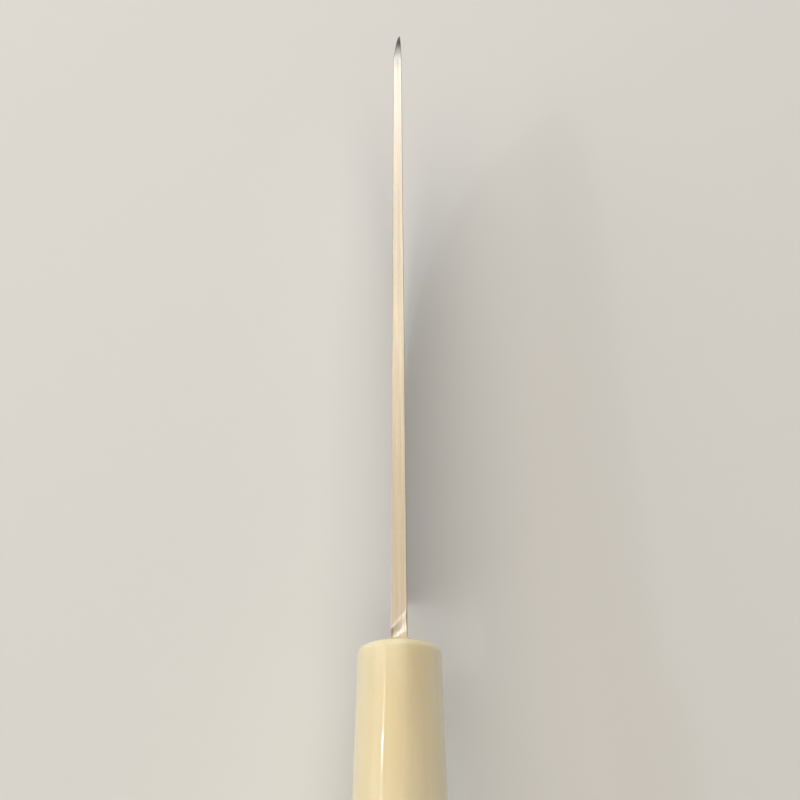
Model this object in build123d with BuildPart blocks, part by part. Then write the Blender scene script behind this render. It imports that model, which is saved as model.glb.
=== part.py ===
"""A 150 mm boning knife: an unevenly ground blade on a hidden tang, held in a moulded handle.

Frame, in millimetres: +X runs along the knife towards its tip, +Z up towards the spine, +Y to the
knife's left. The origin is the middle of the grip, on the blade's middle plane.

The handle is built from the inside out: the tang lies between two rigid core halves, three pins
go through all three, and a seamless skin is moulded over the core. A soft seal closes the mouth
where the blade leaves the handle, and a plug closes the hole at the butt that held the core in the
mould.
"""

from build123d import *
import os

os.makedirs("parts", exist_ok=True)

# Lengths along the knife
handle_length = 118.0
front_x = handle_length / 2  # the handle's front face; every t below is measured forward from it
blade_length = 150.0

# Blade outline
spine_z = 9.2
tip_z = 5.7
spine_drop_t = 136.0  # where the straight spine starts to curve down to the tip
edge_z = -20.5  # the straight part of the cutting edge
belly_t = 35.0  # where the edge starts to rise
heel_t = 12.0
choil_radius = 2.5
neck_bottom_z = -9.5
neck_top_z = 8.6  # the spine dips to this where it enters the handle
neck_dip_t = (0.5, 4.5)  # where the dip starts and where the spine is at its full height
neck_depth = 3.0  # how far the full neck goes into the handle

# Blade thickness
neck_thickness = 2.9
tip_thickness = 1.9  # at full blade length, if it were not for the bevels
bevel_height = 11.5
grind_shift = 0.5  # the edge lies right of the middle plane, by this share of the half thickness
edge_half_thickness = 0.17  # behind the cutting edge's own small bevel
small_bevel_height = 0.8
apex_half_thickness = 0.015
eased_corner = 0.15

# Tang
tang_length = 88.0
tang_front = (6.6, -8.2)  # top and bottom z where it leaves the neck
tang_rear = (5.0, -6.2)
tang_corner = 3.0
notch_radius = 2.6
notch_ts = (-31.0, -57.0)
pin_ts = {"front": -18.0, "middle": -44.0, "rear": -70.0}
pin_z = -0.8
pin_radius = 2.25

# Handle sections: distance back from the front face, top z, bottom z, width
handle_sections = [
    (0.0, 11.0, -13.2, 15.4),
    (4.0, 11.1, -15.0, 15.48),
    (9.0, 11.2, -15.2, 15.58),
    (16.0, 11.4, -12.9, 15.74),
    (26.0, 11.7, -11.6, 15.98),
    (42.0, 12.1, -12.7, 16.6),
    (60.0, 12.2, -14.0, 17.5),
    (78.0, 11.8, -13.5, 18.3),
    (94.0, 10.9, -13.4, 18.7),
    (105.0, 9.8, -15.8, 19.1),
    (112.0, 9.0, -17.4, 19.2),
    (118.0, 8.2, -17.9, 18.9),
]
skin_thickness = 2.2
# The core runs from the second section to the last but one, which leaves the skin's two end walls.
front_rim_radius = 1.4
butt_rim_radius = 5.0

# Small pieces inside the handle
seal_depth = 2.5
seal_wall = 0.8
seal_corner = 1.2
plug_radius = 4.0
plug_z = -4.85
plug_edge = 0.3
rear_tie = (-98.0, -2.0, 3.0)  # t, z and radius of a cross hole that the skin fills
guard_tie = (-9.0, -10.9, 1.5)
peg_places = [(-50.5, 7.6), (-104.5, 1.5)]  # t and z
peg_radius = 1.0
peg_length = 2.0
peg_clearance = 0.05
clear_of_all = 30.0  # longer than any piece is wide, for cutting through
clear_of_blade = 8.0
past_the_end = 1.0  # how far a cutting shape runs on beyond the blade's ends
bevel_overrun = 0.6  # how far the bevel cutters' slope runs on past its two ends, as a share of it
# Where the bevel cutters are drawn, closer together where the edge curves up to the tip.
bevel_stations = [heel_t - 4, heel_t + 4, belly_t, 55, 75, 92, 107, 120, 131, 140, 147, blade_length + 1.5]


def half_thickness(t):
    """Half the thickness of the blade's flats, which thin evenly towards the tip."""
    return (neck_thickness + (tip_thickness - neck_thickness) * t / blade_length) / 2


def cutting_edge_z(t):
    """Height of the cutting edge: straight from the heel, then rising as a cube to the tip."""
    rise = max(0.0, (t - belly_t) / (blade_length - belly_t))
    return edge_z + (tip_z - edge_z) * rise**3


def edge_y(t):
    """Sideways place of the cutting edge: the left face is ground more than the right one."""
    return -grind_shift * half_thickness(t)


def loft_bevel_cutter(side, height, top_half, bottom_half):
    """The stock that grinding takes off one face, up to height above the edge; 1 left, -1 right."""
    with BuildPart() as cutter:
        for t in bevel_stations:
            low = Vector(side * edge_y(t) + bottom_half, cutting_edge_z(t))
            high = Vector(top_half(t), cutting_edge_z(t) + height)
            over = high + (high - low) * bevel_overrun
            under = low - (high - low) * bevel_overrun
            with BuildSketch(Plane.YZ.offset(front_x + t)):
                with BuildLine():
                    Polyline(over, under, (clear_of_blade, under.Y), (clear_of_blade, over.Y), close=True)
                make_face()
        loft()
    return cutter.part if side > 0 else mirror(cutter.part, about=Plane.XZ)


def loft_handle(sections, inset):
    """A smooth body through the handle's oval sections, made smaller all round by inset."""
    with BuildPart() as body:
        for back, top, bottom, width in sections:
            with BuildSketch(Plane.YZ.offset(front_x - back)):
                with Locations((0, (top + bottom) / 2)):
                    Ellipse(width / 2 - inset, (top - bottom) / 2 - inset)
        loft()
    return body.part


# ---------------------------------------------------------------- shapes that several pieces share

core_envelope = loft_handle(handle_sections[1:-1], skin_thickness)

with BuildPart() as tang:
    with BuildSketch(Plane.XZ):
        with BuildLine():
            Polyline(
                (front_x, tang_front[0]),
                (front_x - tang_length, tang_rear[0]),
                (front_x - tang_length, tang_rear[1]),
                (front_x, tang_front[1]),
                close=True,
            )
        make_face()
        fillet(vertices().group_by(Axis.X)[0], tang_corner)
        for t in notch_ts:
            along = -t / tang_length
            bottom_z = tang_front[1] + (tang_rear[1] - tang_front[1]) * along
            with Locations((front_x + t, bottom_z)):
                Circle(notch_radius, mode=Mode.SUBTRACT)
    extrude(amount=neck_thickness / 2, both=True)

with BuildPart() as neck_in_handle:
    with BuildSketch(Plane.YZ.offset(front_x - neck_depth)):
        with Locations((0, (neck_top_z + neck_bottom_z) / 2)):
            Rectangle(neck_thickness, neck_top_z - neck_bottom_z)
    extrude(amount=neck_depth)


def cross_pin(t, z, radius):
    """A round bar across the knife, through the core from side to side and flush with it."""
    with BuildPart() as bar:
        with BuildSketch(Plane.XZ):
            with Locations((front_x + t, z)):
                Circle(radius)
        extrude(amount=clear_of_all, both=True)
        add(core_envelope, mode=Mode.INTERSECT)
    return bar.part


ties = [cross_pin(*rear_tie), cross_pin(*guard_tie)]

# ---------------------------------------------------------------- blade, with its tang

bevel_cutters = []
for side in (1, -1):
    bevel_cutters.append(loft_bevel_cutter(side, bevel_height, half_thickness, edge_half_thickness))
    bevel_cutters.append(
        loft_bevel_cutter(
            side,
            small_bevel_height,
            lambda t: side * edge_y(t) + edge_half_thickness,
            apex_half_thickness,
        )
    )

with BuildPart() as blade:
    with BuildSketch(Plane.XZ):
        with BuildLine():
            dip_start = (front_x + neck_dip_t[0], neck_top_z)
            dip_end = (front_x + neck_dip_t[1], spine_z)
            drop_start = (front_x + spine_drop_t, spine_z)
            tip = (front_x + blade_length, tip_z)
            belly_start = (front_x + belly_t, edge_z)
            third = (blade_length - belly_t) / 3
            heel = (front_x + heel_t, edge_z)
            choil_top = (front_x + heel_t - choil_radius, neck_bottom_z)
            choil_end = (front_x + heel_t, neck_bottom_z - choil_radius)
            Line((front_x, neck_top_z), dip_start)
            Spline(dip_start, dip_end, tangents=((1, 0), (1, 0)))
            Line(dip_end, drop_start)
            TangentArc(drop_start, tip, tangent=(1, 0))
            Bezier(tip, (tip[0] - third, edge_z), (tip[0] - 2 * third, edge_z), belly_start)
            Line(belly_start, heel)
            Line(heel, choil_end)
            TangentArc(choil_end, choil_top, tangent=(0, 1))
            Line(choil_top, (front_x, neck_bottom_z))
            Line((front_x, neck_bottom_z), (front_x, neck_top_z))
        make_face()
    extrude(amount=neck_thickness, both=True)

    # The flats thin evenly on both sides, from the handle to the tip.
    past_tip_t = blade_length + past_the_end
    with BuildSketch(Plane.XY.offset(-clear_of_all)):
        with BuildLine():
            Polyline(
                (front_x - past_the_end, half_thickness(-past_the_end)),
                (front_x + past_tip_t, half_thickness(past_tip_t)),
                (front_x + past_tip_t, -half_thickness(past_tip_t)),
                (front_x - past_the_end, -half_thickness(-past_the_end)),
                close=True,
            )
        make_face()
    extrude(amount=2 * clear_of_all, mode=Mode.INTERSECT)

    # The spine and the choil are eased so that they don't bite the hand.
    # Edges off the middle plane run along the faces; the cutting edge itself stays square.
    long_edges = edges().filter_by(lambda e: abs(e.center().Y) > tip_thickness / 4)
    eased = long_edges.filter_by(
        lambda e: e.center().Z > neck_top_z - eased_corner
        or (e.center().Z > edge_z + past_the_end and e.center().X < front_x + heel_t + eased_corner)
    )
    fillet(eased, eased_corner)

    add(bevel_cutters, mode=Mode.SUBTRACT)

    add(neck_in_handle.part)
    add(tang.part)
    with BuildSketch(Plane.XZ):
        with Locations([(front_x + t, pin_z) for t in pin_ts.values()]):
            Circle(pin_radius)
    extrude(amount=clear_of_all, both=True, mode=Mode.SUBTRACT)

blade.part.label = "blade"
export_step(blade.part, "parts/blade.step")

# ---------------------------------------------------------------- three pins through core and tang

for name, t in pin_ts.items():
    with BuildPart() as pin:
        add(cross_pin(t, pin_z, pin_radius))
    pin.part.label = f"{name}_pin"
    export_step(pin.part, f"parts/{name}_pin.step")

# ---------------------------------------------------------------- rigid core, in two halves

with BuildPart() as whole_core:
    add(core_envelope)
    add(tang.part, mode=Mode.SUBTRACT)
    add(ties, mode=Mode.SUBTRACT)
    with BuildSketch(Plane.XZ):
        with Locations([(front_x + t, pin_z) for t in pin_ts.values()]):
            Circle(pin_radius)
    extrude(amount=clear_of_all, both=True, mode=Mode.SUBTRACT)

with BuildPart() as core_left:
    add(whole_core.part)
    split(bisect_by=Plane.XZ, keep=Keep.BOTTOM)
    with BuildSketch(Plane.XZ):
        with Locations([(front_x + t, z) for t, z in peg_places]):
            Circle(peg_radius + peg_clearance)
    extrude(amount=-peg_length - peg_clearance, mode=Mode.SUBTRACT)

core_left.part.label = "core_left"
export_step(core_left.part, "parts/core_left.step")

with BuildPart() as core_right:
    add(whole_core.part)
    split(bisect_by=Plane.XZ, keep=Keep.TOP)
    with BuildSketch(Plane.XZ):
        with Locations([(front_x + t, z) for t, z in peg_places]):
            Circle(peg_radius)
    extrude(amount=-peg_length)

core_right.part.label = "core_right"
export_step(core_right.part, "parts/core_right.step")

# ---------------------------------------------------------------- soft seal round the neck

with BuildPart() as seal_bed:
    with BuildSketch(Plane.YZ.offset(front_x - seal_depth)):
        with Locations((0, (neck_top_z + neck_bottom_z) / 2)):
            seal_width = neck_thickness + 2 * seal_wall
            seal_height = neck_top_z - neck_bottom_z + 2 * seal_wall
            RectangleRounded(seal_width, seal_height, seal_corner)
    extrude(amount=seal_depth)

with BuildPart() as mouth_seal:
    add(seal_bed.part)
    add(neck_in_handle.part, mode=Mode.SUBTRACT)

mouth_seal.part.label = "mouth_seal"
export_step(mouth_seal.part, "parts/mouth_seal.step")

# ---------------------------------------------------------------- plug in the butt

rear_wall = handle_sections[-1][0] - handle_sections[-2][0]
with BuildPart() as plug_bed:
    with BuildSketch(Plane.YZ.offset(front_x - handle_length)):
        with Locations((0, plug_z)):
            Circle(plug_radius)
    extrude(amount=rear_wall)

with BuildPart() as butt_plug:
    add(plug_bed.part)
    chamfer(faces().sort_by(Axis.X)[0].edges(), plug_edge)

butt_plug.part.label = "butt_plug"
export_step(butt_plug.part, "parts/butt_plug.step")

# ---------------------------------------------------------------- moulded skin over the core

with BuildPart() as handle_skin:
    add(loft_handle(handle_sections, 0))
    fillet(faces().sort_by(Axis.X)[-1].edges(), front_rim_radius)
    fillet(faces().sort_by(Axis.X)[0].edges(), butt_rim_radius)
    add(core_envelope, mode=Mode.SUBTRACT)
    add(ties)
    add(seal_bed.part, mode=Mode.SUBTRACT)
    add(neck_in_handle.part, mode=Mode.SUBTRACT)
    add(tang.part, mode=Mode.SUBTRACT)
    add(plug_bed.part, mode=Mode.SUBTRACT)

handle_skin.part.label = "handle_skin"
export_step(handle_skin.part, "parts/handle_skin.step")
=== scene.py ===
"""A boning knife on a pale studio floor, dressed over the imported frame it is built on.

The knife points along +X with its spine up. A satin steel blade on a hidden tang comes out of a
glossy ivory handle, which is moulded over a rigid core. The scene is in metres, and the sizes of the
knife's own parts are in millimetres.
"""

import logging
from dataclasses import dataclass
from enum import Enum, IntEnum

import bmesh
import bpy
import numpy as np
from mathutils import Matrix, Vector


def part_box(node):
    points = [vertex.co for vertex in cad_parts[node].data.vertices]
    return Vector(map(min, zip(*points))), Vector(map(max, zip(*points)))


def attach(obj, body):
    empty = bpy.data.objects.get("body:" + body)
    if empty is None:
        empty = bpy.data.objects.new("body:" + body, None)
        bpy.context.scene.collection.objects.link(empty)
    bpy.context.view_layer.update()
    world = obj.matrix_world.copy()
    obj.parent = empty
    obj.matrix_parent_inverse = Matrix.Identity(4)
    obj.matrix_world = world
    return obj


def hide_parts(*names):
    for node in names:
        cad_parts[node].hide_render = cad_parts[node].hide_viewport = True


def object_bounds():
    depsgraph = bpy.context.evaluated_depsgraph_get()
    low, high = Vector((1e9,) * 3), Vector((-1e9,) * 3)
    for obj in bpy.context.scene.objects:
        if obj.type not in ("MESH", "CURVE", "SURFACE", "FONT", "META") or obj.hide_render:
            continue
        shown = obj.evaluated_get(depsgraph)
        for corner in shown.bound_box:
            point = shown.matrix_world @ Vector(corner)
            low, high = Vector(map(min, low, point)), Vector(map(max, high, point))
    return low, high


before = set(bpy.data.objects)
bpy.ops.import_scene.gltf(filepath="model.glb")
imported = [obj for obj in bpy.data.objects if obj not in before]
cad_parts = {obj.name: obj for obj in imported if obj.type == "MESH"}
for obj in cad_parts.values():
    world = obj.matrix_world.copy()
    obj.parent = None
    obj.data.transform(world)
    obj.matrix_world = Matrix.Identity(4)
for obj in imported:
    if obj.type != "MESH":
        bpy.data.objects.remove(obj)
CAD_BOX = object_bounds()

LOG = logging.getLogger("boning_knife")
MM = 0.001
WELD = 1e-7  # points closer than this are one

Array = np.ndarray
Tree = bpy.types.NodeTree
Socket = bpy.types.NodeSocket
Material = bpy.types.Material
Pair = tuple[float, float]
Triple = tuple[float, float, float]


# ------------------------------------------------------------------ small tools


def linear(code: str) -> tuple[float, float, float, float]:
    """Turns an sRGB hex colour into linear light.

    Args:
        code: Six hex digits, such as "e8d9b0".

    Returns:
        Linear red, green, blue and an alpha of 1.
    """
    srgb = np.array([int(code[i : i + 2], 16) for i in (0, 2, 4)]) / 255
    # the numbers below are those of the sRGB curve itself
    low = srgb / 12.92
    high = ((srgb + 0.055) / 1.055) ** 2.4
    red, green, blue = np.where(srgb <= 0.04045, low, high)
    return (float(red), float(green), float(blue), 1.0)


def add_node(
    tree: Tree,
    kind: str,
    inputs: dict[str | int, object] | None = None,
    ramp: list[tuple[float, object]] | None = None,
    **settings: object,
) -> bpy.types.Node:
    """Adds one shader node with its settings, its values and its links.

    Args:
        tree: The node tree that the node joins.
        kind: The node's type name, such as "ShaderNodeTexNoise".
        inputs: Input name or number to a value, or to another node's output to link from.
        ramp: Stops of a colour ramp, as place and linear colour.
        **settings: Properties of the node itself, such as operation="MULTIPLY".

    Returns:
        The new node.
    """
    node = tree.nodes.new(kind)
    for key, value in settings.items():
        setattr(node, key, value)
    for key, value in (inputs or {}).items():
        if isinstance(value, Socket):
            tree.links.new(value, node.inputs[key])
        else:
            node.inputs[key].default_value = value
    if ramp:
        stops = node.color_ramp.elements
        while len(stops) < len(ramp):
            stops.new(0.5)
        for stop, (place, colour) in zip(stops, ramp):
            stop.position = place
            stop.color = colour
    return node


def grey(level: float) -> tuple[float, float, float, float]:
    """A grey of this linear level."""
    return (level, level, level, 1.0)


def per_metre(size_mm: float) -> float:
    """The texture scale at which a pattern on Object coordinates repeats about every size_mm."""
    return 1.0 / (size_mm * MM)


def put(name: str, data: bpy.types.ID) -> bpy.types.Object:
    """Puts a new object with this mesh, light or camera into the scene.

    Args:
        name: The object's name.
        data: What it shows.

    Returns:
        The new object, at the origin.
    """
    thing = bpy.data.objects.new(name, data)
    bpy.context.scene.collection.objects.link(thing)
    return thing


def grid_faces(rows: int, cols: int, wrap_rows: bool, wrap_cols: bool) -> Array:
    """Joins a grid of points into quads: each point with the next in its row and in the next row.

    Args:
        rows: Number of rows of points.
        cols: Number of points in a row.
        wrap_rows: True if the last row joins the first.
        wrap_cols: True if the last point of a row joins the first.

    Returns:
        An array of four point numbers per quad, row by row.
    """
    r, c = np.meshgrid(
        np.arange(rows if wrap_rows else rows - 1),
        np.arange(cols if wrap_cols else cols - 1),
        indexing="ij",
    )
    below, right = (r + 1) % rows, (c + 1) % cols
    quads = [r * cols + c, r * cols + right, below * cols + right, below * cols + c]
    return np.stack(quads, axis=-1).reshape(-1, 4)


def through_knots(knots: Array, values: Array, at: Array) -> Array:
    """A natural cubic spline: cubics between the knots whose slopes and bends agree at each one.

    Args:
        knots: Increasing places of the knots.
        values: The value at each knot.
        at: Places where the value is wanted, inside the knots' range.

    Returns:
        The value at each place.
    """
    step = np.diff(knots)
    rise = np.diff(values) / step
    system = np.eye(len(knots))
    inner = np.arange(1, len(knots) - 1)
    system[inner, inner - 1] = step[:-1]
    system[inner, inner] = 2 * (step[:-1] + step[1:])
    system[inner, inner + 1] = step[1:]
    bend = np.linalg.solve(system, np.concatenate([[0], 6 * np.diff(rise), [0]]))
    i = np.clip(np.searchsorted(knots, at, side="right") - 1, 0, len(step) - 1)
    ahead, back = knots[i + 1] - at, at - knots[i]
    curve = (bend[i] * ahead**3 + bend[i + 1] * back**3) / (6 * step[i])
    from_left = (values[i] / step[i] - bend[i] * step[i] / 6) * ahead
    from_right = (values[i + 1] / step[i] - bend[i + 1] * step[i] / 6) * back
    return curve + from_left + from_right


def smooth_step(x: Array) -> Array:
    """0 up to x = 0, 1 from x = 1, and 3x squared minus 2x cubed between."""
    x = np.clip(x, 0, 1)
    return x * x * (3 - 2 * x)


def make_piece(
    name: str,
    points_mm: Array,
    faces: Array,
    finishes: list[Material],
    face_finish: Array | None = None,
    sharp_deg: float = 32.0,
) -> bpy.types.Object:
    """Makes one closed mesh object that rides on the knife's only body.

    Args:
        name: The piece's name.
        points_mm: Points in millimetres, in any array whose last axis is X, Y, Z.
        faces: Four point numbers per quad.
        finishes: The materials of the piece.
        face_finish: For each quad, the number of its material; all 0 if left out.
        sharp_deg: Edges that turn more than this stay crisp, the rest are shaded smooth.

    Returns:
        The new object, at the origin, with its place in its mesh.
    """
    points = points_mm.reshape(-1, 3) * MM
    mesh = bpy.data.meshes.new(name)
    mesh.from_pydata(points, [], faces)
    if face_finish is not None:
        mesh.polygons.foreach_set("material_index", face_finish.astype(np.int32))
    shape = bmesh.new()
    shape.from_mesh(mesh)
    bmesh.ops.remove_doubles(shape, verts=shape.verts, dist=WELD)
    bmesh.ops.dissolve_degenerate(shape, edges=shape.edges, dist=WELD)
    bmesh.ops.recalc_face_normals(shape, faces=shape.faces)
    shape.to_mesh(mesh)
    shape.free()
    mesh.polygons.foreach_set("use_smooth", np.ones(len(mesh.polygons), bool))
    mesh.set_sharp_from_angle(angle=np.radians(sharp_deg))
    for finish in finishes:
        mesh.materials.append(finish)
    piece = put(name, mesh)
    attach(piece, "root")
    LOG.info("%s: %d faces", name, len(mesh.polygons))
    return piece


# ------------------------------------------------------------------ finishes


def noise(
    tree: Tree, place: Socket, scale: float, detail: float, roughness: float = 0.5, swirl: float = 0.0
) -> Socket:
    """Adds a noise texture.

    Args:
        tree: The node tree.
        place: Coordinates at which the noise is read.
        scale: What per_metre gives, or 1 if the coordinates are scaled already.
        detail: How many finer layers lie over the coarse one.
        roughness: How strong each finer layer is against the one before.
        swirl: How far the pattern is swirled.

    Returns:
        The noise, which stays mostly between 0.3 and 0.7.
    """
    inputs = {"Vector": place, "Scale": scale, "Detail": detail, "Roughness": roughness, "Distortion": swirl}
    return add_node(tree, "ShaderNodeTexNoise", inputs).outputs[0]


def stretch(tree: Tree, place: Socket, factors: tuple[float, ...]) -> Socket:
    """Multiplies coordinates by one factor along each axis."""
    inputs = {0: place, 1: factors}
    return add_node(tree, "ShaderNodeVectorMath", inputs, operation="MULTIPLY").outputs[0]


def spread(tree: Tree, value: Socket, band: Pair, reach: Pair, **settings: object) -> Socket:
    """Maps a band of values evenly onto a new range and holds the rest at its ends.

    Args:
        tree: The node tree.
        value: The value to map.
        band: The values that become the ends of the new range.
        reach: The new range.
        **settings: Properties of the node itself.

    Returns:
        The mapped value.
    """
    inputs = {0: value, 1: band[0], 2: band[1], 3: reach[0], 4: reach[1]}
    return add_node(tree, "ShaderNodeMapRange", inputs, **settings).outputs[0]


def bump(tree: Tree, height: Socket, depth_mm: float, under: Socket | None = None) -> Socket:
    """Adds relief of a real depth.

    Args:
        tree: The node tree.
        height: Height from 0 to 1.
        depth_mm: What a height of 1 measures.
        under: The relief that this one lies on, if there is one.

    Returns:
        The normal that a shader or another relief takes.
    """
    inputs = {"Height": height, "Distance": depth_mm * MM, "Strength": 1.0}
    if under is not None:
        inputs["Normal"] = under
    return add_node(tree, "ShaderNodeBump", inputs).outputs[0]


@dataclass(frozen=True)
class Hairlines:
    """Long thin grooves, where a stretched noise passes one level."""

    turn: Triple  # radians about X, Y and Z
    sizes_mm: Triple  # the noise's size along and across the grooves
    levels: Triple  # of the noise, where a groove begins, is deepest and ends

    def height(self, tree: Tree, place: Socket) -> Socket:
        """Adds the grooves' height.

        Args:
            tree: The node tree.
            place: The Object coordinates.

        Returns:
            Height from 0 in a groove to 1 outside.
        """
        scale = tuple(map(per_metre, self.sizes_mm))
        inputs = {"Vector": place, "Rotation": self.turn, "Scale": scale}
        turned = add_node(tree, "ShaderNodeMapping", inputs).outputs[0]
        begin, deepest, end = self.levels
        stops = [(0.0, grey(1.0)), (begin, grey(1.0)), (deepest, grey(0.0)), (end, grey(1.0))]
        level = noise(tree, turned, 1.0, detail=1.0)
        return add_node(tree, "ShaderNodeValToRGB", {0: level}, ramp=stops).outputs[0]


class Grain(Enum):
    """Which way the fine lines of a ground surface run, as their size along X, Y and Z in mm.

    A belt's real lines are about 0.05 mm apart, too fine to show, so they are drawn ten times as wide.
    """

    LENGTHWISE = (24.0, 0.5, 0.5)
    CROSSWISE = (0.5, 6.0, 9.0)


@dataclass(frozen=True)
class Finish:
    """What every finish shares: a material with one shader, fed by Object coordinates."""

    name: str

    def begin(self) -> tuple[Material, Tree, Socket]:
        """Starts an empty material.

        Returns:
            The material, its node tree and its Object coordinates.
        """
        material = bpy.data.materials.new(self.name)
        material.use_nodes = True
        tree = material.node_tree
        tree.nodes.clear()
        place = add_node(tree, "ShaderNodeTexCoord")
        return material, tree, place.outputs["Object"]

    def end(self, material: Material, look: dict[str | int, object]) -> Material:
        """Closes a material with its shader.

        Args:
            material: The material that begin started.
            look: Inputs of the Principled shader, as values or outputs to link from.

        Returns:
            The finished material.
        """
        shader = add_node(material.node_tree, "ShaderNodeBsdfPrincipled", look)
        add_node(material.node_tree, "ShaderNodeOutputMaterial", {"Surface": shader.outputs["BSDF"]})
        return material

    def build(self) -> Material:
        """Makes the material, in each finish's own way."""
        raise NotImplementedError


@dataclass(frozen=True)
class GroundSteel(Finish):
    """Stainless knife steel, ground on a belt and polished to a satin.

    The belt leaves fine parallel lines, which stretch every reflection across them. Hand polishing
    leaves soft clouds of duller and brighter metal, and use leaves a few fine scratches.
    """

    grain: Grain = Grain.LENGTHWISE
    bright: str = "d3d0ca"
    dull: str = "bdb9b2"
    roughness: Pair = (0.20, 0.30)
    line_depth_mm: float = 0.006
    cloud_mm: float = 26.0
    cloud_share: float = 0.25
    wear: Pair = (0.36, 0.64)  # levels of the noise on the brightest and dullest metal
    scratches: Hairlines = Hairlines((0.0, 0.5, 0.0), (22.0, 0.3, 0.3), (0.74, 0.755, 0.77))
    scratch_depth_mm: float = 0.012
    stain_and_shade: float = 0.0  # how much of the dark colour shows at the tip: a stain, and painted shade where the spine turns down
    stain_and_shade_mm: Pair = (17.0, 5.0)  # before the tip, where it begins and where it is full
    # a dark colour for the stain and the painted shade at the tip
    stain_and_shade_colour: str = "2e2c2a"
    speck_mm: float = 0.7
    specks: Pair = (0.9, 1.0)  # the darkening's strength between its specks and on them

    def build(self) -> Material:
        """Makes the material.

        Returns:
            The finished material.
        """
        material, tree, place = self.begin()
        factors = tuple(map(per_metre, self.grain.value))
        lines = noise(tree, stretch(tree, place, factors), 1.0, detail=5.0, roughness=0.72)
        clouds = noise(tree, place, per_metre(self.cloud_mm), detail=3.0, roughness=0.6)
        worn = add_node(tree, "ShaderNodeMix", {0: self.cloud_share, 2: lines, 3: clouds}).outputs[0]
        stops = [(0.0, linear(self.bright)), (1.0, linear(self.dull))]
        share = spread(tree, worn, self.wear, (0.0, 1.0))
        colour = add_node(tree, "ShaderNodeValToRGB", {0: share}, ramp=stops).outputs[0]
        # painted shade at the tip, where the spine turns down, mixed with a speckled stain
        if self.stain_and_shade:
            colour = self.stained_and_shaded(tree, place, colour)
        belt = bump(tree, lines, self.line_depth_mm)
        look = {
            "Base Color": colour,
            "Metallic": 1.0,
            "Roughness": spread(tree, worn, self.wear, self.roughness),
            "Normal": bump(tree, self.scratches.height(tree, place), self.scratch_depth_mm, belt),
        }
        return self.end(material, look)

    def stained_and_shaded(self, tree: Tree, place: Socket, colour: Socket) -> Socket:
        """Darkens the metal towards the tip: painted shade where the spine turns down, with a slightly
        speckled stain.

        Args:
            tree: The node tree.
            place: The Object coordinates.
            colour: The steel's own colour.

        Returns:
            The stained colour.
        """
        begin, full = (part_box("blade")[1].x - before * MM for before in self.stain_and_shade_mm)
        ahead = add_node(tree, "ShaderNodeSeparateXYZ", {0: place}).outputs["X"]
        near_tip = spread(tree, ahead, (begin, full), (0.0, self.stain_and_shade), interpolation_type="SMOOTHSTEP")
        level = noise(tree, place, per_metre(self.speck_mm), detail=4.0, roughness=0.7)
        speckled = spread(tree, level, (0.35, 0.65), self.specks)
        amount = add_node(tree, "ShaderNodeMath", {0: near_tip, 1: speckled}, operation="MULTIPLY")
        inputs = {"Factor": amount.outputs[0], 6: colour, 7: linear(self.stain_and_shade_colour)}
        return add_node(tree, "ShaderNodeMix", inputs, data_type="RGBA").outputs[2]


@dataclass(frozen=True)
class MouldedIvory(Finish):
    """Ivory polypropylene with a gloss, as it leaves a polished mould.

    The resin lets light in a little way, so its edges glow softly. Its tone drifts a little where
    the melt flowed along the mould, and the gloss is broken by faint orange peel, by a hand's
    smudges and by hairline scratches along the grip.
    """

    pale: str = "ede6cc"
    deep: str = "e4d8b4"
    roughness: Pair = (0.07, 0.15)
    index: float = 1.49
    glow: float = 0.3
    glow_mm: float = 2.2
    glow_reach: Triple = (1.0, 0.55, 0.25)  # red's, green's, blue's share of glow_mm
    flow: Triple = (0.3, 1.0, 1.0)  # below 1 the drift is longer along that axis
    mottle_mm: float = 11.0
    smudge_mm: float = 6.0
    peel_mm: float = 0.9
    peel_depth_mm: float = 0.004
    scratches: Hairlines = Hairlines((0.0, 0.06, 0.09), (14.0, 0.35, 0.35), (0.70, 0.712, 0.724))
    scratch_depth_mm: float = 0.006

    def build(self) -> Material:
        """Makes the material.

        Returns:
            The finished material.
        """
        material, tree, place = self.begin()
        drift = stretch(tree, place, self.flow)
        mottle = noise(tree, drift, per_metre(self.mottle_mm), detail=4.0, roughness=0.55, swirl=0.4)
        stops = [(0.32, linear(self.deep)), (0.68, linear(self.pale))]
        smudges = noise(tree, place, per_metre(self.smudge_mm), detail=5.0, roughness=0.65)
        orange = noise(tree, place, per_metre(self.peel_mm), detail=2.0)
        peel = bump(tree, orange, self.peel_depth_mm)
        look = {
            "Base Color": add_node(tree, "ShaderNodeValToRGB", {0: mottle}, ramp=stops).outputs[0],
            "Roughness": spread(tree, smudges, (0.35, 0.68), self.roughness),
            "IOR": self.index,
            "Subsurface Weight": self.glow,
            "Subsurface Radius": self.glow_reach,
            "Subsurface Scale": self.glow_mm * MM,
            "Normal": bump(tree, self.scratches.height(tree, place), self.scratch_depth_mm, peel),
        }
        return self.end(material, look)


@dataclass(frozen=True)
class MattMoulding(Finish):
    """A soft or filled plastic with a dull, finely pitted skin: seal rubber or glass-filled nylon."""

    colour: str = "dccfae"
    shade: str = "cdbf9b"
    pit_mm: float = 0.35
    pit_depth_mm: float = 0.02
    roughness: Pair = (0.55, 0.75)
    fibre_stretch: float = 1.0

    def build(self) -> Material:
        """Makes the material.

        Returns:
            The finished material.
        """
        material, tree, place = self.begin()
        drawn = stretch(tree, place, (1 / self.fibre_stretch, 1.0, 1.0))
        pits = noise(tree, drawn, per_metre(self.pit_mm), detail=4.0, roughness=0.6)
        stops = [(0.35, linear(self.shade)), (0.65, linear(self.colour))]
        look = {
            "Base Color": add_node(tree, "ShaderNodeValToRGB", {0: pits}, ramp=stops).outputs[0],
            "Roughness": spread(tree, pits, (0.3, 0.7), self.roughness[::-1]),
            "Normal": bump(tree, pits, self.pit_depth_mm),
        }
        return self.end(material, look)


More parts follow.
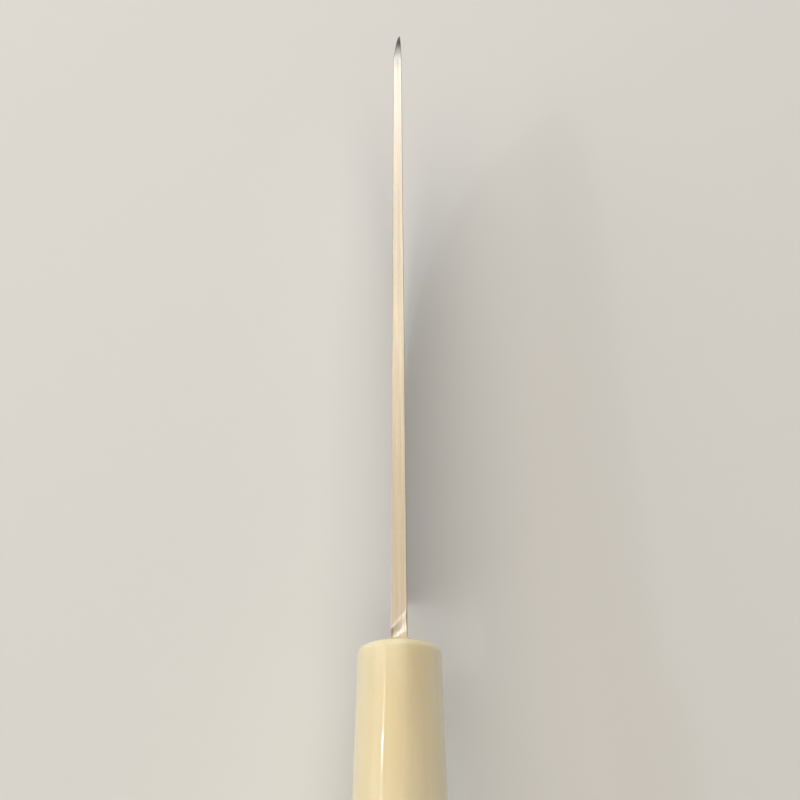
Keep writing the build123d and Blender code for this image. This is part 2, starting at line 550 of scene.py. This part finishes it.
@dataclass(frozen=True)
class PalePaper(Finish):
    """Matt background paper, whose faint fibre breaks up the little sheen that it has."""

    colour: str = "dee4ee"
    roughness: float = 0.85
    sheen: float = 0.2
    fibre_mm: float = 1.5
    fibre_depth_mm: float = 0.01

    def build(self) -> Material:
        """Makes the material.

        Returns:
            The finished material.
        """
        material, tree, place = self.begin()
        fibre = noise(tree, place, per_metre(self.fibre_mm), detail=4.0)
        look = {
            "Base Color": linear(self.colour),
            "Roughness": self.roughness,
            "Specular IOR Level": self.sheen,
            "Normal": bump(tree, fibre, self.fibre_depth_mm),
        }
        return self.end(material, look)


# ------------------------------------------------------------------ blade


class Ground(IntEnum):
    """The blade's ground surfaces, numbered as its materials are."""

    SPINE = 0
    FLAT = 1
    BEVEL = 2
    EDGE = 3


@dataclass
class Blade:
    """The blade and its hidden tang. Lengths are in millimetres, and t runs from the handle's face.

    Each face is a height field: at each point of the outline it stands out by the least of three
    distances, the flat's, the bevel's and the small cutting bevel's, and its corners are rounded off
    except at the cutting edge. The left face is ground more than the right one.
    """

    face_x: float
    length: float = 150.0
    neck_in: float = 3.0
    spine_z: float = 9.2
    tip_z: float = 5.7
    drop_t: float = 136.0
    neck_top_z: float = 8.75
    neck_bottom_z: float = -9.5
    edge_z: float = -20.5
    belly_t: float = 35.0
    heel_t: float = 12.0
    choil_radius: float = 2.5
    neck_half: float = 1.45
    tip_half: float = 0.95
    bevel: float = 11.5
    grind_shift: float = 0.5  # the edge lies right of the middle by this share of the half thickness
    edge_half: float = 0.17
    small_bevel: float = 0.8
    apex_half: float = 0.015
    eased: float = 0.15
    foot: Pair = (0.35, 0.5)  # where the spine starts to climb from the neck: t, skew
    head: Pair = (3.75, 1.25)  # where it stops; skew is t per millimetre to the right
    neck_columns: int = 160
    turn_columns: int = 12
    heel_columns: int = 19
    edge_columns: int = 259
    edge_gather: float = 1.35  # above 1 the columns gather towards the tip
    fan: Pair = (1.5, 6.5)  # t past the neck at the top of the choil's and heel's columns
    corner_rows: int = 5
    flat_rows: int = 10
    bevel_rows: int = 13
    crown_rows: int = 28
    under_rows: int = 4
    corner_most: float = 0.2  # the largest share of a column that its rounded corner may take
    round_most: float = 0.8  # and of the blade's half thickness
    tang_length: float = 88.0
    tang_top: Pair = (6.6, 5.0)
    tang_bottom: Pair = (-8.2, -6.2)
    tang_corner: float = 3.0
    tang_corner_stations: int = 12
    tang_stations: int = 30
    hole_stations: int = 33
    notches: tuple[float, ...] = (-31.0, -57.0)
    notch_radius: float = 2.6
    pins: tuple[float, ...] = (-18.0, -44.0, -70.0)
    pin_z: float = -0.8
    pin_radius: float = 2.25

    def spine(self, t: Array, y: Array) -> Array:
        """The spine's height: level, then a circle's arc down to the tip, and a skewed ramp at the neck.

        Args:
            t: Distance ahead of the handle.
            y: Distance to the left of the middle plane.

        Returns:
            Height above the origin.
        """
        run, fall = self.length - self.drop_t, self.spine_z - self.tip_z
        radius = (run**2 + fall**2) / (2 * fall)
        past = np.clip(t - self.drop_t, 0, run)
        level = self.spine_z - (radius - np.sqrt(radius**2 - past**2))
        start, stop = (place - skew * y for place, skew in (self.foot, self.head))
        climb = smooth_step((t - start) / (stop - start))
        return level - (self.spine_z - self.neck_top_z) * (1 - climb)

    def edge(self, t: Array) -> Array:
        """The cutting edge's height: straight from the heel, then rising as a cube to the tip."""
        rise = np.clip((t - self.belly_t) / (self.length - self.belly_t), 0, 1)
        return self.edge_z + (self.tip_z - self.edge_z) * rise**3

    def face_y(self, t: Array, z: Array, side: float) -> Array:
        """How far a face is from the middle plane: the least of its flat, bevel and small bevel.

        Args:
            t: Distance ahead of the handle.
            z: Height.
            side: 1 for the left face, -1 for the right one.

        Returns:
            Distance out from the middle plane, below zero where the face has crossed it.
        """
        flat = self.neck_half + (self.tip_half - self.neck_half) * t / self.length
        apex = -side * self.grind_shift * flat
        above = np.maximum(z - self.edge(t), 0)
        ground = apex + self.edge_half + (flat - apex - self.edge_half) * above / self.bevel
        sharpened = apex + self.apex_half + (self.edge_half - self.apex_half) * above / self.small_bevel
        return np.minimum(flat, np.minimum(ground, sharpened))

    def columns(self) -> tuple[Array, Array, Array, Array]:
        """Straight lines from spine to underside that fan round the choil and down the heel.

        Returns:
            For each line, t at the spine, t and height at the underside, and how much of the eased
            corner the underside has there, from 1 on the neck to 0 on the cutting edge.
        """
        neck_stop = self.heel_t - self.choil_radius
        heel_top = self.neck_bottom_z - self.choil_radius
        neck = np.linspace(-self.neck_in, neck_stop, self.neck_columns)
        turn = np.radians(np.linspace(0, 90, self.turn_columns + 1))[1:]
        down = np.linspace(0, 1, self.heel_columns + 1)[1:]
        along = 1 - (1 - np.linspace(0, 1, self.edge_columns + 1)[1:]) ** self.edge_gather
        fan_t = neck_stop + np.array([0.0, *self.fan])
        top_t = np.concatenate([
            neck,
            fan_t[0] + (fan_t[1] - fan_t[0]) * turn / turn[-1],
            fan_t[1] + (fan_t[2] - fan_t[1]) * down,
            fan_t[2] + (self.length - fan_t[2]) * along,
        ])
        edge_t = self.heel_t + (self.length - self.heel_t) * along
        low_t = np.concatenate([
            neck,
            neck_stop + self.choil_radius * np.sin(turn),
            np.full(down.shape, self.heel_t),
            edge_t,
        ])
        low_z = np.concatenate([
            np.full(neck.shape, self.neck_bottom_z),
            heel_top + self.choil_radius * np.cos(turn),
            heel_top + (self.edge_z - heel_top) * down,
            self.edge(edge_t),
        ])
        easing = np.concatenate([np.ones(len(neck) + len(turn)), 1 - down**2, np.zeros(len(along))])
        return top_t, low_t, low_z, easing

    def rows(self, top: Array, low: Array, easing: Array) -> Array:
        """Places along each column, gathered where the face bends.

        Args:
            top: t and height of each column's upper end, one row each.
            low: t and height of its lower end.
            easing: How much of the eased corner the lower end has.

        Returns:
            Fractions of each column's length from its upper end, one row per column.
        """
        shortest, halvings = 1e-6, 30
        length = np.maximum(np.linalg.norm(low - top, axis=1), shortest)
        corner = np.clip(self.eased / length, 0.0, self.corner_most)

        def crease(height: float) -> Array:
            """Halves each column until the point at a given height above the edge is found.

            Args:
                height: Height above the cutting edge.

            Returns:
                The point's place on each column, as a fraction from its upper end.
            """
            near, far = np.zeros(len(top)), np.ones(len(top))
            for _ in range(halvings):
                middle = (near + far) / 2
                point = top + (low - top) * middle[:, None]
                higher = point[:, 1] - self.edge(point[:, 0]) > height
                near, far = np.where(higher, middle, near), np.where(higher, far, middle)
            return near

        least_easing, least_face, last_most, gap = 0.3, 0.4, 0.995, 0.02
        rounded = 1 - self.eased * np.maximum(easing, least_easing) / length
        last = np.where(easing > 0, rounded, crease(self.small_bevel))
        last = np.clip(last, corner + least_face, last_most)
        bevel = np.clip(crease(self.bevel), corner + gap, last - gap)
        bend = 1 - np.cos(np.linspace(0, np.pi / 2, self.corner_rows + 1))
        close = 0.004  # keeps each crease crisp by a second row just beside it
        on_flat = np.linspace(0, 1, self.flat_rows)[1:-1]
        on_bevel = np.concatenate([[0, close], np.linspace(0, 1, self.bevel_rows)[1:]])
        spans = [
            corner[:, None] * bend,
            corner[:, None] + (bevel - corner)[:, None] * on_flat,
            (bevel - close)[:, None],
            bevel[:, None] + (last - bevel)[:, None] * on_bevel,
            last[:, None] + (1 - last)[:, None] * (1 - bend[::-1][1:]),
        ]
        return np.concatenate(spans, axis=1)

    def blade_grid(self) -> tuple[Array, int]:
        """The blade's surface as closed rings, one per column: left face, spine, right face, underside.

        Returns:
            Points as rings by places round the ring, and the number of rows on one face.
        """
        top_t, low_t, low_z, easing = self.columns()
        low = np.stack([low_t, low_z], axis=1)
        faces = []
        for side in (1.0, -1.0):
            reach = side * self.neck_half
            top = np.stack([top_t, self.spine(top_t, np.full_like(top_t, reach))], axis=1)
            share = self.rows(top, low, easing)
            place = top[:, None, :] + (low - top)[:, None, :] * share[:, :, None]
            t, z = place[..., 0], place[..., 1]
            out = self.face_y(t, z, side)
            half = (out + self.face_y(t, z, -side)) / 2
            length = np.linalg.norm(low - top, axis=1)[:, None]
            room = self.round_most * half
            upper = np.minimum(self.eased, np.minimum(self.corner_most * length, room))
            lower = np.minimum(self.eased * easing[:, None], room)
            for radius, depth in ((upper, share * length), (lower, (1 - share) * length)):
                short = np.clip(radius - depth, 0, radius)
                out = out - (radius - np.sqrt(radius**2 - short**2))
            faces.append(np.stack([t, side * out, z], axis=-1))
        left, right = faces
        across = np.linspace(0, 1, self.crown_rows + 2)[1:-1, None]
        crown = left[:, :1] + (right[:, :1] - left[:, :1]) * across
        crown[..., 2] = self.spine(crown[..., 0], crown[..., 1])
        across = np.linspace(0, 1, self.under_rows + 2)[1:-1, None]
        under = right[:, -1:] + (left[:, -1:] - right[:, -1:]) * across
        rings = np.concatenate([left[:, ::-1], crown, right, under], axis=1)
        return rings, left.shape[1]

    @staticmethod
    def arches(t: Array, places: tuple[float, ...], radius: float) -> Array:
        """Half circles on these places: the root of the radius squared less the distance squared."""
        return sum(np.sqrt(np.clip(radius**2 - (t - place) ** 2, 0, None)) for place in places)

    def tang_grid(self) -> tuple[Array, Array]:
        """The tang as two bars that meet on the pins' line, each a four-cornered ring carried along.

        Returns:
            Points as bar by station by corner, and whether each stretch between stations is open
            to a pin's hole.
        """
        rounds = [(p, self.pin_radius) for p in self.pins] + [(n, self.notch_radius) for n in self.notches]
        half_turn = np.linspace(0, np.pi, self.hole_stations)
        quarter_turn = np.linspace(0, np.pi / 2, self.tang_corner_stations)
        arcs = [c - r * np.cos(half_turn) for c, r in rounds]
        rear = -self.tang_length + self.tang_corner * (1 - np.cos(quarter_turn))
        ahead = np.linspace(rear[-1], -self.neck_in, self.tang_stations)
        t = np.unique(np.concatenate([rear, *arcs, ahead]))
        back = -t / self.tang_length
        upper = self.tang_top[0] + (self.tang_top[1] - self.tang_top[0]) * back
        lower = self.tang_bottom[0] + (self.tang_bottom[1] - self.tang_bottom[0]) * back
        corner = np.clip(self.tang_corner - (t + self.tang_length), 0, self.tang_corner)
        rounding = self.tang_corner - np.sqrt(self.tang_corner**2 - corner**2)
        hole = self.arches(t, self.pins, self.pin_radius)
        notch = self.arches(t, self.notches, self.notch_radius)
        bars = []
        for outer, inner in (
            (upper - rounding, self.pin_z + hole),
            (lower + rounding + notch, self.pin_z - hole),
        ):
            sides = [(1, outer), (1, inner), (-1, inner), (-1, outer)]
            lines = [np.stack([t, np.full_like(t, s * self.neck_half), z], axis=-1) for s, z in sides]
            bars.append(np.stack(lines, axis=1))
        open_here = (hole[:-1] > 0) | (hole[1:] > 0)
        return np.stack(bars), open_here

    def build(self, spine: GroundSteel, flat: GroundSteel, bevel: GroundSteel, edge: GroundSteel) -> None:
        """Makes the blade from its grids, with one finish per ground surface.

        Args:
            spine: Finish of the spine and its eased corners.
            flat: Finish of the flats, the neck and the tang.
            bevel: Finish of the long bevels.
            edge: Finish of the small cutting bevels.
        """
        rings, face_rows = self.blade_grid()
        ends = np.repeat(rings[[0, -1]].mean(axis=1, keepdims=True), rings.shape[1], axis=1)
        rings = np.concatenate([ends[:1], rings, ends[1:]])
        count, round_count = rings.shape[:2]
        faces = grid_faces(count, round_count, wrap_rows=False, wrap_cols=True)
        place = np.tile(np.arange(round_count), count - 1)
        crown_stop = round_count - self.under_rows - face_rows
        from_top = np.where(place < face_rows, face_rows - 2 - place, place - crown_stop)
        stops = np.cumsum([self.corner_rows, self.flat_rows, self.bevel_rows])
        finish = np.select([from_top < stop for stop in stops], list(Ground)[:-1], default=Ground.EDGE)
        finish[place >= round_count - self.under_rows - 1] = Ground.EDGE
        column = np.repeat(np.arange(count - 1), round_count)
        before_edge = self.neck_columns + self.turn_columns + self.heel_columns + 1
        finish[(column < before_edge) & (finish == Ground.EDGE)] = Ground.FLAT
        bars, open_here = self.tang_grid()
        stations, corners = bars.shape[1:3]
        points, quads = [rings.reshape(-1, 3)], [faces]
        start = len(points[0])
        for bar in bars:
            ring = grid_faces(stations, corners, wrap_rows=False, wrap_cols=True)
            inner = np.arange(len(ring)) % corners == 1
            kept = ring[~inner | np.repeat(open_here, corners)]
            ends = np.arange(corners) + np.array([[0], [corners * (stations - 1)]])
            quads.append(np.concatenate([kept, ends]) + start)
            points.append(bar.reshape(-1, 3))
            start += bar.size // 3
        finish = np.concatenate([finish, np.full(sum(map(len, quads[1:])), int(Ground.FLAT))])
        whole = np.concatenate(points)
        whole[:, 0] += self.face_x
        finishes = [each.build() for each in (spine, flat, bevel, edge)]
        piece = make_piece("blade_visual", whole, np.concatenate(quads), finishes, finish)
        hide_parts("blade")


# ------------------------------------------------------------------ handle


@dataclass
class Handle:
    """The moulded skin with its seal and plug, in millimetres. Back is the distance from its face.

    The skin is one closed surface of rings: along the outside, in through the mouth, back along the
    cavity that holds the core, and out through the plug's hole.
    """

    face_x: float
    length: float = 118.0
    knots: tuple[float, ...] = (0, 4, 9, 16, 26, 42, 60, 78, 94, 105, 112, 118)
    tops: tuple[float, ...] = (11.0, 11.1, 11.2, 11.4, 11.7, 12.1, 12.2, 11.8, 10.9, 9.8, 9.0, 8.2)
    bottoms: tuple[float, ...] = (
        -13.2, -15.0, -15.2, -12.9, -11.6, -12.7, -14.0, -13.5, -13.4, -15.8, -17.4, -17.9,
    )
    widths: tuple[float, ...] = (
        15.4, 15.48, 15.58, 15.74, 15.98, 16.6, 17.5, 18.3, 18.7, 19.1, 19.2, 18.9,
    )
    inside_cad: float = 0.02
    skin: float = 2.2
    front_wall: float = 4.0
    rear_wall: float = 6.0
    front_rim: float = 1.4
    butt_rim: float = 5.0
    neck_half: float = 1.45
    neck_z: Pair = (-9.5, 8.6)
    seal_wall: float = 0.8
    seal_depth: float = 2.5
    mouth_rim: float = 0.15
    lip: float = 0.3
    plug_radius: float = 4.0
    plug_z: float = -4.85
    plug_gap: float = 0.06
    plug_recess: float = 0.02
    plug_dish: float = 0.12
    plug_rim: Pair = (0.3, 0.075)  # its depth, and its width as a share of the radius
    gate_mark: Pair = (0.35, 0.7)  # the dimple's depth and radius
    seal_gap: float = 0.01
    seal_top: float = 0.1  # where the seal's walls turn into its lip
    squareness: float = 0.22  # the power in the squared oval; 1 would be a plain oval
    round_count: int = 144
    rim_rings: int = 14
    outside_rings: int = 168
    cavity_rings: int = 70
    plug_end_rings: int = 30

    def around(self) -> Array:
        """Angles of the places round a ring, from the top towards the left."""
        return np.linspace(0, 2 * np.pi, self.round_count, endpoint=False)

    @staticmethod
    def behind_face(back: Array, y: Array, z: Array) -> Array:
        """Points at Y and Z, each ring set back from the handle's face by its own distance."""
        return np.stack([np.broadcast_to(-back[:, None], y.shape), y, z], axis=-1)

    def oval(self, back: Array, inset: Array) -> Array:
        """Oval rings of the handle: half the width times sine, half the height times cosine.

        Args:
            back: Distance of each ring from the handle's face.
            inset: How much smaller each ring is, all round.

        Returns:
            Points as rings by places.
        """
        knots = np.array(self.knots, float)
        top, bottom, width = (
            through_knots(knots, np.array(v, float), back) for v in (self.tops, self.bottoms, self.widths)
        )
        inset = inset + self.inside_cad
        half_width = (width / 2 - inset)[:, None]
        half_height = ((top - bottom) / 2 - inset)[:, None]
        angle = self.around()[None, :]
        y = half_width * np.sin(angle)
        z = ((top + bottom) / 2)[:, None] + half_height * np.cos(angle)
        return self.behind_face(back, y, z)

    def slot_ring(self, back: Array, grow: Array) -> Array:
        """Rings round the neck: a squared oval whose sine and cosine are raised to a small power.

        Args:
            back: Distance of each ring from the handle's face.
            grow: How far each ring stands off the neck.

        Returns:
            Points as rings by places.
        """
        sine, cosine = np.sin(self.around()), np.cos(self.around())
        flat_y = np.sign(sine) * np.abs(sine) ** self.squareness
        flat_z = np.sign(cosine) * np.abs(cosine) ** self.squareness
        low, high = self.neck_z
        y = (self.neck_half + grow)[:, None] * flat_y
        z = (low + high) / 2 + ((high - low) / 2 + grow)[:, None] * flat_z
        return self.behind_face(back, y, z)

    def round_ring(self, back: Array, radius: Array) -> Array:
        """Circles on the plug's axis.

        Args:
            back: Distance of each ring from the handle's face.
            radius: Radius of each ring.

        Returns:
            Points as rings by places.
        """
        angle = self.around()[None, :]
        y = radius[:, None] * np.sin(angle)
        z = self.plug_z + radius[:, None] * np.cos(angle)
        return self.behind_face(back, y, z)

    @staticmethod
    def between(first: Array, last: Array, count: int) -> Array:
        """Rings that turn evenly from one into another, without either."""
        share = np.linspace(0, 1, count + 2)[1:-1, None, None]
        return first[None] * (1 - share) + last[None] * share

    def skin_rings(self) -> Array:
        """The skin's rings in order, from the butt round the outside and back through the inside.

        Returns:
            Points as rings by places.
        """
        turn = np.linspace(0, np.pi / 2, self.rim_rings)
        back_turn = turn[::-1]
        butt = self.oval(
            self.length - self.butt_rim * (1 - np.sin(back_turn)),
            self.butt_rim * (1 - np.cos(back_turn)),
        )
        along = np.linspace(self.length - self.butt_rim, self.front_rim, self.outside_rings + 2)[1:-1]
        outside = self.oval(along, np.zeros_like(along))
        front = self.oval(self.front_rim * (1 - np.sin(turn)), self.front_rim * (1 - np.cos(turn)))
        lead = turn[::3]  # the mouth's rim is small, so every third angle is enough
        mouth = self.slot_ring(
            self.mouth_rim * (1 - np.cos(lead)), self.seal_wall + self.mouth_rim * (1 - np.sin(lead))
        )
        bed = self.slot_ring(np.array([self.seal_depth * 0.5, self.seal_depth]), np.full(2, self.seal_wall))
        slot = self.slot_ring(np.array([self.seal_depth, self.front_wall]), np.zeros(2))
        hollow = np.linspace(self.front_wall, self.length - self.rear_wall, self.cavity_rings)
        cavity = self.oval(hollow, np.full_like(hollow, self.skin))
        hole = self.round_ring(
            np.array([self.length - self.rear_wall, self.length - self.mouth_rim, self.length]),
            self.plug_radius + np.array([0.0, 0.0, self.mouth_rim]),
        )
        return np.concatenate([
            butt,
            outside,
            front,
            self.between(front[-1], mouth[0], 7),
            mouth,
            bed,
            self.between(bed[-1], slot[0], 2),
            slot,
            self.between(slot[-1], cavity[0], 4),
            cavity,
            self.between(cavity[-1], hole[0], 4),
            hole,
            self.between(hole[-1], butt[0], 5),
        ])

    def seal_rings(self) -> Array:
        """The seal's rings: up its inner wall, over its lip and down its outer wall to its foot.

        The lip is an arch: its height is a sine raised to a power below 1, which makes it fuller.

        Returns:
            Points as rings by places.
        """
        lip_rings, lip_power = 12, 0.6
        wall = np.array([self.seal_depth, self.seal_depth * 0.5, self.seal_top])
        inner = self.slot_ring(wall, np.full(3, self.seal_gap))
        outer = self.slot_ring(wall[::-1], np.full(3, self.seal_wall - self.seal_gap))
        share = np.linspace(0, 1, lip_rings + 2)[1:-1]
        rise = (self.lip + self.seal_top) * np.sin(np.pi * share) ** lip_power
        dome = self.slot_ring(self.seal_top - rise, share * self.seal_wall)
        return np.concatenate([inner, dome, outer])

    def plug_rings(self) -> Array:
        """The plug's rings: its end from the middle out, its side, and the middle of its inner end.

        The end is dished by a parabola, with a bell-shaped dimple left by the gate and a rounded rim.

        Returns:
            Points as rings by places.
        """
        reach = self.plug_radius - self.plug_gap
        share = np.linspace(0, 1, self.plug_end_rings)
        gate_depth, gate_radius = self.gate_mark
        dimple = gate_depth * np.exp(-((share * reach / gate_radius) ** 2))
        dish = self.plug_dish * (1 - share**2)
        rim_depth, rim_width = self.plug_rim
        past = np.clip((share - (1 - rim_width)) / rim_width, 0, 1)
        rim = rim_depth * (1 - np.sqrt(np.clip(1 - past**2, 0, 1)))
        end = self.round_ring(self.length - self.plug_recess - dimple - dish - rim, share * reach)
        side = self.round_ring(
            np.array([self.length - self.rear_wall * 0.5, self.length - self.rear_wall]),
            np.full(2, reach),
        )
        pole = self.round_ring(np.array([self.length - self.rear_wall]), np.zeros(1))
        return np.concatenate([end, side, pole])

    def build(self, ivory: Finish, plug: Finish, seal: Finish) -> None:
        """Makes the skin, the seal and the plug.

        Args:
            ivory: Finish of the skin.
            plug: Finish of the plug.
            seal: Finish of the seal.
        """
        for name, rings, finish, node, slot, wrap in (
            ("handle_skin_visual", self.skin_rings(), ivory, "handle_skin", "ivory_skin", True),
            ("mouth_seal_visual", self.seal_rings(), seal, "mouth_seal", "seal_rubber", True),
            ("butt_plug_visual", self.plug_rings(), plug, "butt_plug", "ivory_plug", False),
        ):
            rings = rings + np.array([self.face_x, 0, 0])
            faces = grid_faces(*rings.shape[:2], wrap_rows=wrap, wrap_cols=True)
            piece = make_piece(name, rings, faces, [finish.build()])
            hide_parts(node)


@dataclass
class HandleCore:
    """The pieces inside the handle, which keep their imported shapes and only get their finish."""

    halves: tuple[str, ...] = ("core_left", "core_right")
    pins: tuple[str, ...] = ("front_pin", "middle_pin", "rear_pin")

    def build(self, nylon: Finish, rod: Finish) -> None:
        """Dresses the core halves and the pins.

        Args:
            nylon: Finish of the core halves.
            rod: Finish of the pins.
        """
        for names, finish in ((self.halves, nylon.build()), (self.pins, rod.build())):
            for name in names:
                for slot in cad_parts[name].material_slots:
                    slot.material = finish
                LOG.info("%s: packed shape, %s", name, finish.name)


# ------------------------------------------------------------------ studio


@dataclass(frozen=True)
class SoftLight:
    """A rectangular soft light that looks at a point. Lengths are in metres.

    Its brightness is that of its face as a mirror would show it, so that a larger light of the same
    brightness gives more light.
    """

    name: str
    position: Triple
    target: Triple
    size: Pair
    brightness: float
    colour: str = "ffffff"

    def build(self) -> None:
        """Makes the light. It shows in reflections, but not straight into the camera."""
        data = bpy.data.lights.new(self.name, "AREA")
        data.shape = "RECTANGLE"
        data.size, data.size_y = self.size
        data.energy = self.brightness * np.pi * self.size[0] * self.size[1]
        data.color = linear(self.colour)[:3]
        light = put(self.name, data)
        aim = Vector(self.target) - Vector(self.position)
        turn = aim.to_track_quat("-Z", "Y").to_matrix().to_4x4()
        light.matrix_world = Matrix.Translation(self.position) @ turn
        light.visible_camera = False


@dataclass
class Studio:
    """A pale floor, soft lights and the camera, which looks steeply down from above the grip."""

    flat_radius: float = 1.5
    curve_radius: float = 1.2
    wall_height: float = 1.8
    flat_rings: int = 11
    curve_rings: int = 24
    floor_sides: int = 96
    world_colour: str = "e8dcc4"
    world_strength: float = 0.23
    eye_mm: Triple = (36.29, -1.11, 148.53)
    pitch_deg: float = 64.10
    yaw_deg: float = 0.68
    roll_deg: float = -0.98
    lens_mm: float = 35.92
    sensor_mm: float = 36.0
    nearest: float = 0.005  # metres from the lens, where the camera begins to see

    def floor(self) -> None:
        """A sheet of pale paper: a round floor that curves up into a wall all round.

        Its profile, a line, a quarter circle and a line, is carried round the upright axis.
        """
        turn = np.linspace(0, np.pi / 2, self.curve_rings)
        out = np.concatenate([
            np.linspace(0, self.flat_radius, self.flat_rings + 1)[:-1],
            self.flat_radius + self.curve_radius * np.sin(turn),
            [self.flat_radius + self.curve_radius],
        ])
        curve = self.curve_radius * (1 - np.cos(turn))
        up = np.concatenate([np.zeros(self.flat_rings), curve, [self.wall_height]])
        angle = np.linspace(0, 2 * np.pi, self.floor_sides, endpoint=False)
        x, y = out[:, None] * np.cos(angle), out[:, None] * np.sin(angle)
        z = np.broadcast_to(CAD_BOX[0].z + up[:, None], x.shape)
        points = np.stack([x, y, z], axis=-1)
        mesh = bpy.data.meshes.new("floor")
        faces = grid_faces(len(out), len(angle), wrap_rows=False, wrap_cols=True)
        mesh.from_pydata(points.reshape(-1, 3), [], faces)
        mesh.polygons.foreach_set("use_smooth", np.ones(len(mesh.polygons), bool))
        mesh.materials.append(PalePaper("pale_paper").build())
        sheet = put("floor", mesh)

    def lights(self) -> None:
        """The soft lights and an even glow all round."""
        for light in (  # name, position, target, size, brightness, colour
            SoftLight("overhead", (-0.15, 0.30, 1.05), (-0.15, 0.30, 0.0), (1.4, 1.7), 0.92, "ffeacb"),
            SoftLight("overhead_front", (0.95, 0.30, 1.05), (0.95, 0.30, 0.0), (0.8, 1.7), 1.28, "ffefd6"),
            SoftLight("left_panel", (0.05, 1.25, 0.42), (0.05, 0.0, 0.42), (1.6, 1.0), 1.45, "faf8ee"),
            SoftLight("front_window", (1.55, 0.05, 0.66), (0.2, 0.0, 0.1), (1.2, 0.9), 2.2, "ffffff"),
            SoftLight("strip", (0.163, 0.98, 0.57), (0.045, 0.0, 0.01), (0.030, 0.040), 130.0, "fffaf0"),
            SoftLight("rear_strip", (0.040, 0.98, 0.57), (0.036, 0.0, 0.01), (0.060, 0.030), 35.0, "fffaf0"),
            SoftLight("neck_lamp", (-0.02, -0.15, 1.00), (-0.02, -0.15, 0.0), (0.20, 0.20), 2.5, "ffffff"),
        ):
            light.build()
        world = bpy.data.worlds.new("glow")
        bpy.context.scene.world = world
        world.use_nodes = True
        glow = world.node_tree.nodes["Background"]
        glow.inputs["Color"].default_value = linear(self.world_colour)
        glow.inputs["Strength"].default_value = self.world_strength

    def camera(self) -> None:
        """The camera: a lens at a place, pitched down, then turned and rolled a little."""
        pitch, yaw, roll = np.radians([self.pitch_deg, self.yaw_deg, self.roll_deg])
        ahead = Vector((np.cos(pitch) * np.cos(yaw), np.cos(pitch) * np.sin(yaw), -np.sin(pitch)))
        over = Vector((np.sin(pitch) * np.cos(yaw), np.sin(pitch) * np.sin(yaw), np.cos(pitch)))
        level = ahead.cross(over)
        right = level * np.cos(roll) + over * np.sin(roll)
        up = over * np.cos(roll) - level * np.sin(roll)
        data = bpy.data.cameras.new("camera")
        data.sensor_width = self.sensor_mm
        data.lens = self.lens_mm
        data.clip_start = self.nearest
        camera = put("camera", data)
        turn = Matrix((right, up, -ahead)).transposed().to_4x4()
        camera.matrix_world = Matrix.Translation(Vector(self.eye_mm) * MM) @ turn
        bpy.context.scene.camera = camera

    def build(self) -> None:
        """Sets the whole studio up."""
        self.camera()
        self.floor()
        self.lights()
        bpy.context.scene.view_settings.view_transform = "Standard"


def main() -> None:
    """Builds the studio, then the knife from the outside in."""
    logging.basicConfig(level=logging.INFO, format="%(name)s: %(message)s")
    Studio().build()
    face_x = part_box("handle_skin")[1].x / MM
    # the spine's tip is darkened by painted shade and a speckled stain
    spine = GroundSteel("satin_steel_spine", roughness=(0.20, 0.36), stain_and_shade=1.0)
    flat = GroundSteel("satin_steel_flats")
    bevel = GroundSteel("ground_steel_bevels", grain=Grain.CROSSWISE, roughness=(0.16, 0.28))
    edge = GroundSteel("honed_steel_edge", grain=Grain.CROSSWISE, roughness=(0.08, 0.16))
    Blade(face_x).build(spine, flat, bevel, edge)
    Handle(face_x).build(
        MouldedIvory("moulded_ivory_polypropylene"),
        MouldedIvory("moulded_ivory_plug", pale="ead9b2", deep="dcc796", roughness=(0.24, 0.36)),
        MattMoulding("seal_rubber"),
    )
    HandleCore().build(
        MattMoulding("glass_filled_nylon", colour="cfc3a2", shade="b7a983", fibre_stretch=6.0),
        GroundSteel("drawn_steel_rod", grain=Grain.CROSSWISE),
    )


if __name__ == "__main__":
    main()
